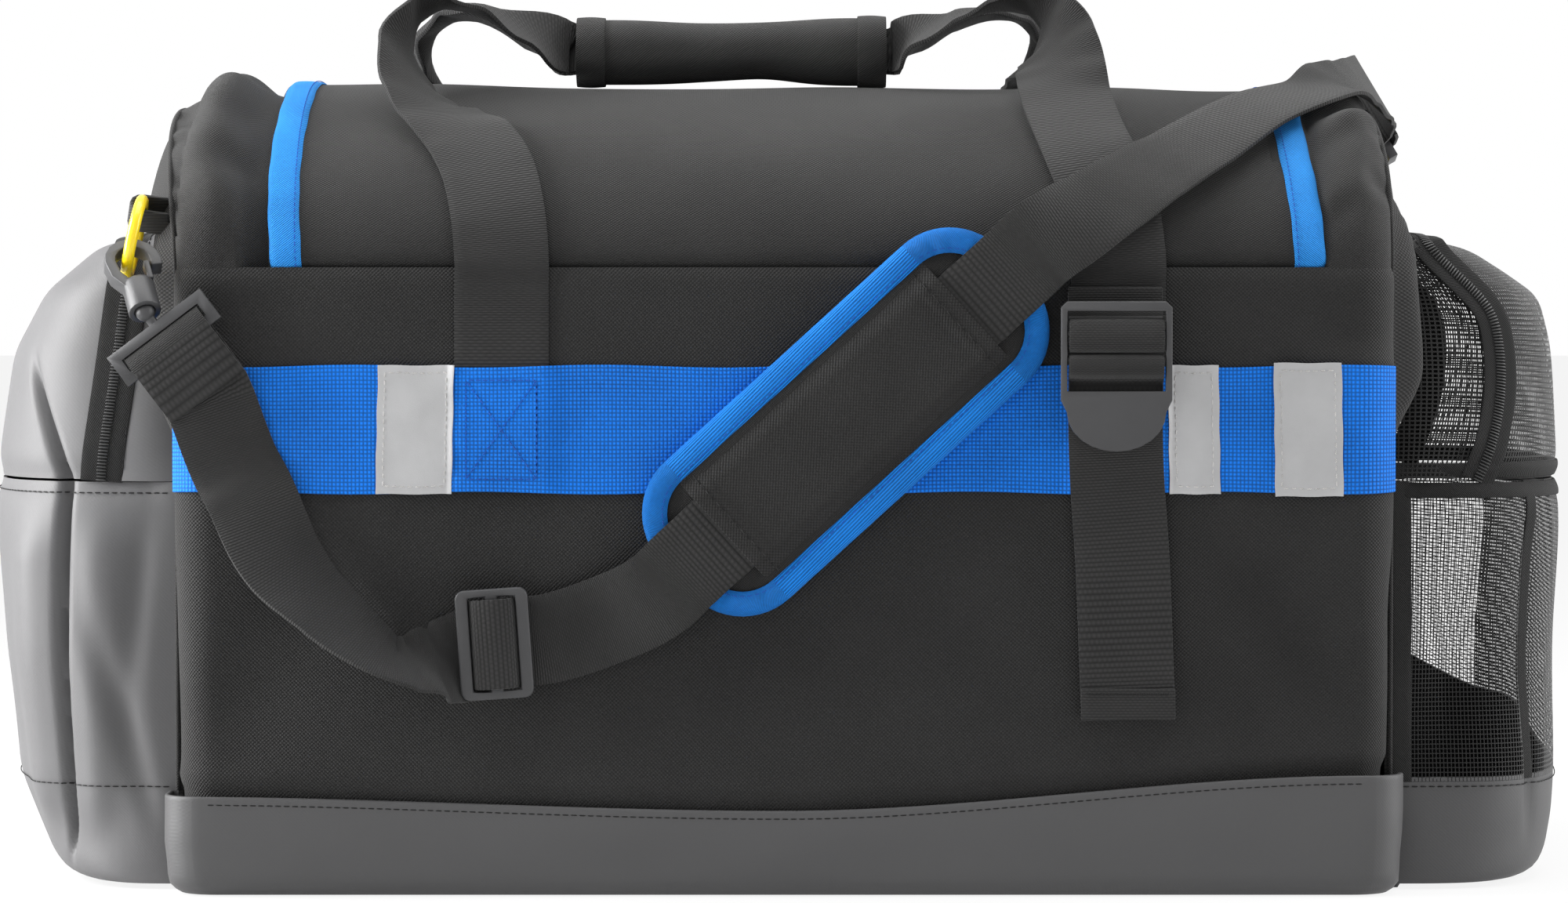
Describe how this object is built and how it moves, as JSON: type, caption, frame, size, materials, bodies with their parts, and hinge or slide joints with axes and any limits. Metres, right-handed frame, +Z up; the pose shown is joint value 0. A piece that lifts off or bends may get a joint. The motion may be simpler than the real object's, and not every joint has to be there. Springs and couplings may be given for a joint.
{
  "type": "gear duffel bag",
  "caption": "Arched duffel with a zipped lid, end pockets, padded carry grip, compression buckle and clip-on shoulder strap.",
  "frame": {"origin": "on the floor under the middle of the base", "axes": "+Z up, +X along the bag to the mesh pocket, -Y towards the front with the blue band and the strap"},
  "size_m": [0.7128, 0.3718, 0.3885],
  "materials": {
    "woven": "charcoal woven nylon",
    "coated": "grey coated cloth, slightly glossy",
    "webbing": "black ribbed webbing",
    "blue": "royal blue webbing and twill tape",
    "silver": "reflective silver patch with pale stitching",
    "mesh": "black open mesh",
    "moulded": "dark grey moulded acetal",
    "yellow": "yellow coated ring",
    "zip": "black zip tape",
    "metal": "black enamelled zip hardware",
    "board": "hidden plastic board",
    "foam": "padded cloth"
  },
  "bodies": {
    "bag": {"base_panel": "coated", "base_stiffener": "board", "front_panel": "woven", "back_panel": "woven", "left_end_panel": "woven", "right_end_panel": "woven", "lid_zip_tape": "zip", "front_band": "blue", "rear_band": "blue", "patch_left": "silver", "patch_mid": "silver", "patch_right": "silver", "front_handle_left_leg": "webbing", "front_handle_right_leg": "webbing", "rear_handle_left_leg": "webbing", "rear_handle_right_leg": "webbing", "left_pocket_shell": "coated", "left_pocket_gusset": "zip", "right_pocket_base": "coated", "right_pocket_mesh": "mesh", "right_pocket_gusset": "zip", "buckle_loop": "webbing", "strap_tail": "webbing", "left_ring_tab": "webbing", "left_ring": "yellow", "left_eye": "moulded", "right_ring_tab": "webbing", "right_ring": "yellow", "right_eye": "moulded", "strap_lower": "webbing", "strap_pad_run": "webbing", "strap_over_cap": "webbing", "pad_base": "foam", "pad_binding": "blue", "pad_sleeve": "foam"},
    "lid": {"lid_panel": "woven", "lid_binding_left": "blue", "lid_binding_right": "blue", "front_handle_loop": "webbing", "grip_wrap": "woven", "strap_over_lid": "webbing"},
    "grip_flap": {"grip_flap": "woven"},
    "rear_handle": {"rear_handle_loop": "webbing"},
    "left_flap": {"left_pocket_flap": "coated"},
    "right_flap": {"right_pocket_flap": "mesh"},
    "lid_slider": {"lid_zip_slider": "metal"},
    "lid_pull": {"lid_zip_pull": "metal"},
    "left_slider": {"left_pocket_slider": "metal"},
    "left_pull": {"left_pocket_pull": "metal"},
    "right_slider": {"right_pocket_slider": "metal"},
    "right_pull": {"right_pocket_pull": "metal"},
    "ladder_lock": {"ladder_lock": "moulded", "threaded_strap": "webbing"},
    "tri_glide": {"tri_glide": "moulded", "glide_loop": "webbing"},
    "left_hook": {"left_hook": "moulded"},
    "left_gate": {"left_gate": "moulded"},
    "right_hook": {"right_hook": "moulded"},
    "right_gate": {"right_gate": "moulded"}
  },
  "joints": [
    {"name": "lid_hinge", "type": "hinge", "parent": "bag", "child": "lid", "pos_m": [0, -0.1754, 0.26675], "axis": [1, 0, 0], "range_deg": [0, 95], "deforming": ["strap_pad_run", "strap_over_lid", "pad_base", "pad_binding", "pad_sleeve"]},
    {"name": "grip_flap_hinge", "type": "hinge", "parent": "lid", "child": "grip_flap", "pos_m": [0, -0.00172, 0.3824], "axis": [1, 0, 0], "range_deg": [0, 110]},
    {"name": "rear_handle_hinge", "type": "hinge", "parent": "bag", "child": "rear_handle", "pos_m": [0, 0.1778, 0.26675], "axis": [1, 0, 0], "range_deg": [-170, 0]},
    {"name": "left_flap_hinge", "type": "hinge", "parent": "bag", "child": "left_flap", "pos_m": [-0.3568, 0, 0.176], "axis": [0, -1, 0], "range_deg": [0, 100]},
    {"name": "right_flap_hinge", "type": "hinge", "parent": "bag", "child": "right_flap", "pos_m": [0.3568, 0, 0.176], "axis": [0, 1, 0], "range_deg": [0, 100]},
    {"name": "lid_slider_run", "type": "slide", "parent": "bag", "child": "lid_slider", "axis": [1, 0, 0], "range_m": [-0.14, 0]},
    {"name": "lid_pull_hinge", "type": "hinge", "parent": "lid_slider", "child": "lid_pull", "pos_m": [0.085, 0.1774, 0.272], "axis": [0, 0, -1], "range_deg": [0, 100]},
    {"name": "left_slider_run", "type": "slide", "parent": "bag", "child": "left_slider", "axis": [0, 1, 0], "range_m": [-0.12, 0]},
    {"name": "left_pull_hinge", "type": "hinge", "parent": "left_slider", "child": "left_pull", "pos_m": [-0.2789, 0.06, 0.29057], "axis": [-1, 0, 0], "range_deg": [0, 100]},
    {"name": "right_slider_run", "type": "slide", "parent": "bag", "child": "right_slider", "axis": [0, 1, 0], "range_m": [-0.12, 0]},
    {"name": "right_pull_hinge", "type": "hinge", "parent": "right_slider", "child": "right_pull", "pos_m": [0.2789, 0.06, 0.29057], "axis": [-1, 0, 0], "range_deg": [0, 100]},
    {"name": "ladder_lock_tilt", "type": "hinge", "parent": "bag", "child": "ladder_lock", "pos_m": [0.1405, -0.189, 0.24], "axis": [-1, 0, 0], "range_deg": [0, 18]},
    {"name": "tri_glide_slide", "type": "slide", "parent": "bag", "child": "tri_glide", "axis": [0.9976, 0, 0.0698], "range_m": [-0.012, 0.012]},
    {"name": "left_hook_swivel", "type": "hinge", "parent": "bag", "child": "left_hook", "pos_m": [-0.27047, -0.18392, 0.24895], "axis": [-0.271, 0.6123, 0.7428], "range_deg": [-20, 20]},
    {"name": "left_gate_hinge", "type": "hinge", "parent": "left_hook", "child": "left_gate", "pos_m": [-0.26959, -0.17169, 0.26208], "axis": [0.1795, -0.7259, 0.6639], "range_deg": [0, 16], "stiffness_Nm_per_rad": 0.02},
    {"name": "right_hook_swivel", "type": "hinge", "parent": "bag", "child": "right_hook", "pos_m": [0.2779, 0.11485, 0.33868], "axis": [0.0601, 0.6907, -0.7207], "range_deg": [-20, 20]},
    {"name": "right_gate_hinge", "type": "hinge", "parent": "right_hook", "child": "right_gate", "pos_m": [0.28471, 0.12631, 0.32665], "axis": [0.0089, 0.7216, 0.6923], "range_deg": [0, 16], "stiffness_Nm_per_rad": 0.02}
  ]
}
